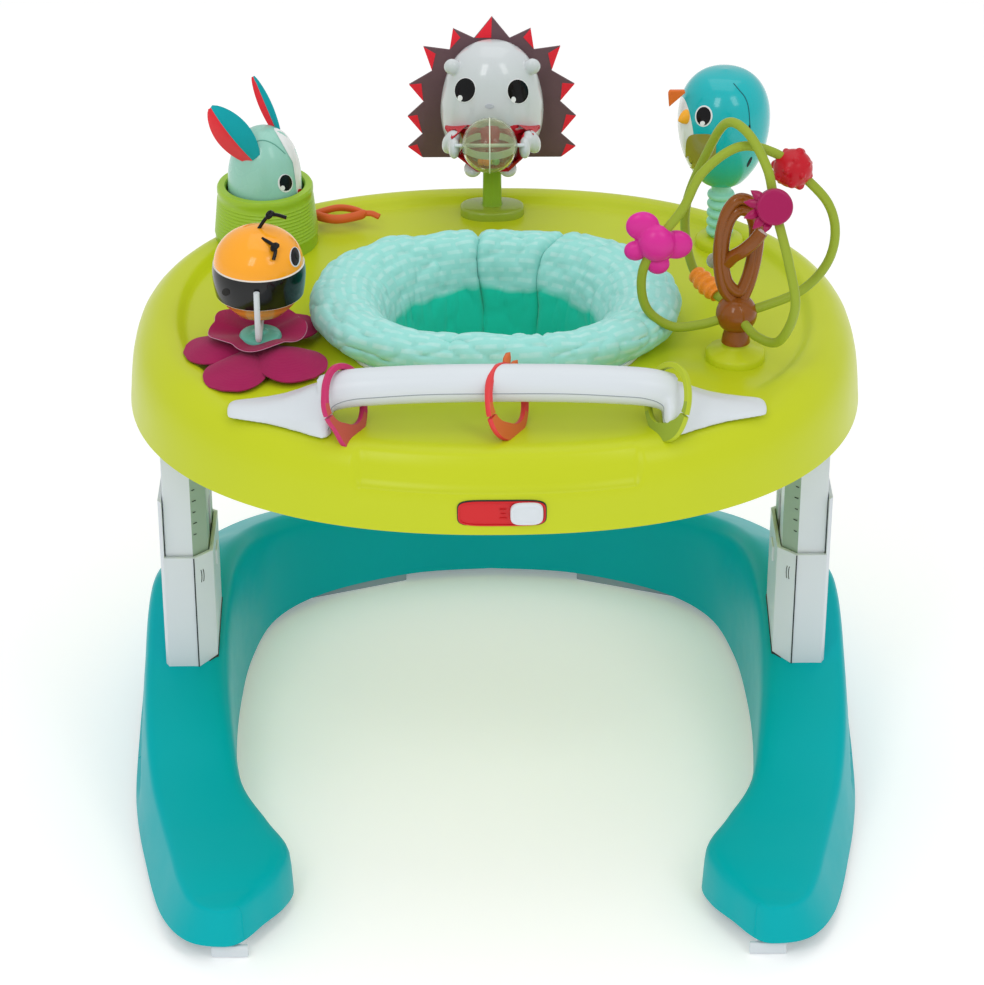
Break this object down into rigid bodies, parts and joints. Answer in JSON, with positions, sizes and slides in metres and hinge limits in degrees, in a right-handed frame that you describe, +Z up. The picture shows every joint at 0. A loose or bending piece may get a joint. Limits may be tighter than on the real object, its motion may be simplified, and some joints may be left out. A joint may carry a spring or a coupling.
{
  "type": "activity jumper",
  "caption": "Horseshoe walker base with wheels, two telescopic posts, an oval toy tray with push bar, a turning cloth seat and animal and bead toys.",
  "frame": {"origin": "on the floor under the middle of the base", "axes": "+X right, +Y away from the push bar, +Z up"},
  "size_m": [0.6924, 0.714, 0.6777],
  "materials": {
    "teal_plastic": "fine moulded texture",
    "white_plastic": "satin",
    "lime_plastic": "satin gloss",
    "red_plastic": "gloss",
    "grey_plastic": "satin",
    "pad_rubber": "matte",
    "steel": "plain",
    "seat_cloth": "printed woven cotton",
    "flower_cloth": "woven felt-like cloth",
    "ear_cloth": "two-tone woven cloth",
    "strap_cloth": "woven strap",
    "mint_plastic": "gloss",
    "green_plastic": "satin",
    "orange_plastic": "gloss",
    "bird_plastic": "gloss",
    "shell_plastic": "gloss",
    "spine_cloth": "printed felt",
    "clear_plastic": "clear",
    "brown_plastic": "gloss",
    "track_plastic": "satin coated wire",
    "magenta_plastic": "gloss",
    "pink_plastic": "gloss",
    "link_green": "translucent gloss",
    "link_red": "translucent gloss"
  },
  "bodies": {
    "base": {"base_frame": "teal_plastic", "friction_pad_left": "pad_rubber", "friction_pad_right": "pad_rubber", "lower_post_left": "white_plastic", "lower_post_right": "white_plastic", "near_axle_left": "steel", "near_axle_right": "steel"},
    "tray": {"tray_top": "lime_plastic", "tray_bottom": "lime_plastic", "upper_post_left": "white_plastic", "upper_post_right": "white_plastic", "slider_plate": "red_plastic", "push_bar_lower": "white_plastic", "push_bar_upper": "white_plastic", "flower_petals": "flower_cloth", "bee_stand": "mint_plastic", "bee_yoke": "white_plastic", "bee_axle": "steel", "rabbit_cup": "green_plastic", "teether_loop": "strap_cloth", "hedgehog_stem": "green_plastic", "hedgehog_body": "shell_plastic", "hedgehog_back": "shell_plastic", "hedgehog_spines": "spine_cloth", "rattle_pin": "white_plastic", "bird_bellows": "mint_plastic", "maze_stand": "lime_plastic", "maze_ball": "brown_plastic", "maze_track_a": "track_plastic", "maze_track_b": "track_plastic"},
    "seat": {"seat_ring": "white_plastic", "seat_fabric": "seat_cloth"},
    "slider": {"mode_slider": "white_plastic"},
    "bee": {"bee_body": "orange_plastic"},
    "rabbit": {"rabbit_head": "mint_plastic", "rabbit_ear_near": "ear_cloth", "rabbit_ear_far": "ear_cloth"},
    "belly": {"hedgehog_belly": "red_plastic"},
    "rattle": {"rattle_left": "clear_plastic", "rattle_right": "clear_plastic"},
    "bird": {"bird_body": "bird_plastic", "bird_beak": "orange_plastic", "bird_crest": "orange_plastic"},
    "near_wheel_left": {"near_wheel_left": "white_plastic"},
    "caster_left": {"caster_fork_left": "grey_plastic", "caster_axle_left": "steel"},
    "caster_wheel_left": {"caster_wheel_left": "white_plastic"},
    "button_left": {"height_button_left": "white_plastic"},
    "near_wheel_right": {"near_wheel_right": "white_plastic"},
    "caster_right": {"caster_fork_right": "grey_plastic", "caster_axle_right": "steel"},
    "caster_wheel_right": {"caster_wheel_right": "white_plastic"},
    "button_right": {"height_button_right": "white_plastic"},
    "link_left": {"link_left": "magenta_plastic"},
    "link_centre": {"link_centre": "link_red"},
    "link_right": {"link_right": "link_green"},
    "bead_butterfly": {"bead_butterfly": "pink_plastic"},
    "bead_berry": {"bead_berry": "red_plastic"},
    "bead_disc": {"bead_disc": "magenta_plastic"},
    "bead_carrot": {"bead_carrot": "orange_plastic"}
  },
  "joints": [
    {"name": "tray_height", "type": "slide", "parent": "base", "child": "tray", "axis": [0, 0, 1], "range_m": [-0.05, 0.05]},
    {"name": "near_wheel_spin_left", "type": "hinge", "parent": "base", "child": "near_wheel_left", "pos_m": [-0.244, -0.33, 0.0155], "axis": [1, 0, 0], "continuous": true},
    {"name": "caster_swivel_left", "type": "hinge", "parent": "base", "child": "caster_left", "pos_m": [-0.266, 0.213, 0.03], "axis": [0, 0, 1], "continuous": true},
    {"name": "caster_wheel_spin_left", "type": "hinge", "parent": "caster_left", "child": "caster_wheel_left", "pos_m": [-0.266, 0.201, 0.0205], "axis": [1, 0, 0], "continuous": true},
    {"name": "height_button_press_left", "type": "slide", "parent": "base", "child": "button_left", "axis": [-1, 0, 0], "range_m": [0, 0.003], "stiffness_N_per_m": 400, "springref_m": -0.002},
    {"name": "near_wheel_spin_right", "type": "hinge", "parent": "base", "child": "near_wheel_right", "pos_m": [0.244, -0.33, 0.0155], "axis": [1, 0, 0], "continuous": true},
    {"name": "caster_swivel_right", "type": "hinge", "parent": "base", "child": "caster_right", "pos_m": [0.266, 0.213, 0.03], "axis": [0, 0, 1], "continuous": true},
    {"name": "caster_wheel_spin_right", "type": "hinge", "parent": "caster_right", "child": "caster_wheel_right", "pos_m": [0.266, 0.201, 0.0205], "axis": [1, 0, 0], "continuous": true},
    {"name": "height_button_press_right", "type": "slide", "parent": "base", "child": "button_right", "axis": [1, 0, 0], "range_m": [0, 0.003], "stiffness_N_per_m": 400, "springref_m": -0.002},
    {"name": "seat_spin", "type": "hinge", "parent": "tray", "child": "seat", "pos_m": [0, -0.008, 0.455], "axis": [0, 0, 1], "continuous": true},
    {"name": "mode_slide", "type": "slide", "parent": "tray", "child": "slider", "axis": [1, 0, 0], "range_m": [-0.046, 0]},
    {"name": "bee_spin", "type": "hinge", "parent": "tray", "child": "bee", "pos_m": [-0.21, -0.048, 0.53], "axis": [0, 1, 0], "continuous": true},
    {"name": "rabbit_pop", "type": "slide", "parent": "tray", "child": "rabbit", "axis": [0, 0, 1], "range_m": [-0.02, 0], "stiffness_N_per_m": 250, "springref_m": 0.02},
    {"name": "belly_press", "type": "slide", "parent": "tray", "child": "belly", "axis": [0, 1, 0], "range_m": [0, 0.003], "stiffness_N_per_m": 400, "springref_m": -0.002},
    {"name": "rattle_spin", "type": "hinge", "parent": "tray", "child": "rattle", "pos_m": [-0.003, 0.186, 0.545], "axis": [1, 0, 0], "continuous": true},
    {"name": "bird_tilt", "type": "hinge", "parent": "tray", "child": "bird", "pos_m": [0.216, 0.163, 0.505], "axis": [1, 0, 0], "range_deg": [-14, 14], "stiffness_Nm_per_rad": 2.5},
    {"name": "link_left_swing", "type": "hinge", "parent": "tray", "child": "link_left", "pos_m": [-0.131, -0.195, 0.4965], "axis": [-1, 0, 0], "range_deg": [0, 85]},
    {"name": "link_centre_swing", "type": "hinge", "parent": "tray", "child": "link_centre", "pos_m": [0.008, -0.195, 0.4965], "axis": [-1, 0, 0], "range_deg": [0, 85]},
    {"name": "link_right_swing", "type": "hinge", "parent": "tray", "child": "link_right", "pos_m": [0.146, -0.195, 0.4965], "axis": [-1, 0, 0], "range_deg": [0, 85]},
    {"name": "bead_butterfly_slide", "type": "slide", "parent": "tray", "child": "bead_butterfly", "axis": [0.4868, 0.0143, 0.8734], "range_m": [-0.01, 0.01]},
    {"name": "bead_berry_slide", "type": "slide", "parent": "tray", "child": "bead_berry", "axis": [0.707, 0.0147, -0.707], "range_m": [-0.01, 0.01]},
    {"name": "bead_disc_slide", "type": "slide", "parent": "tray", "child": "bead_disc", "axis": [-0.2259, 0.3923, 0.8917], "range_m": [-0.01, 0.01]},
    {"name": "bead_carrot_slide", "type": "hinge", "parent": "tray", "child": "bead_carrot", "pos_m": [0.1931, -0.03025, 0.53479], "axis": [-0.8135, -0.5772, 0.0707], "range_deg": [-10, 10]}
  ]
}
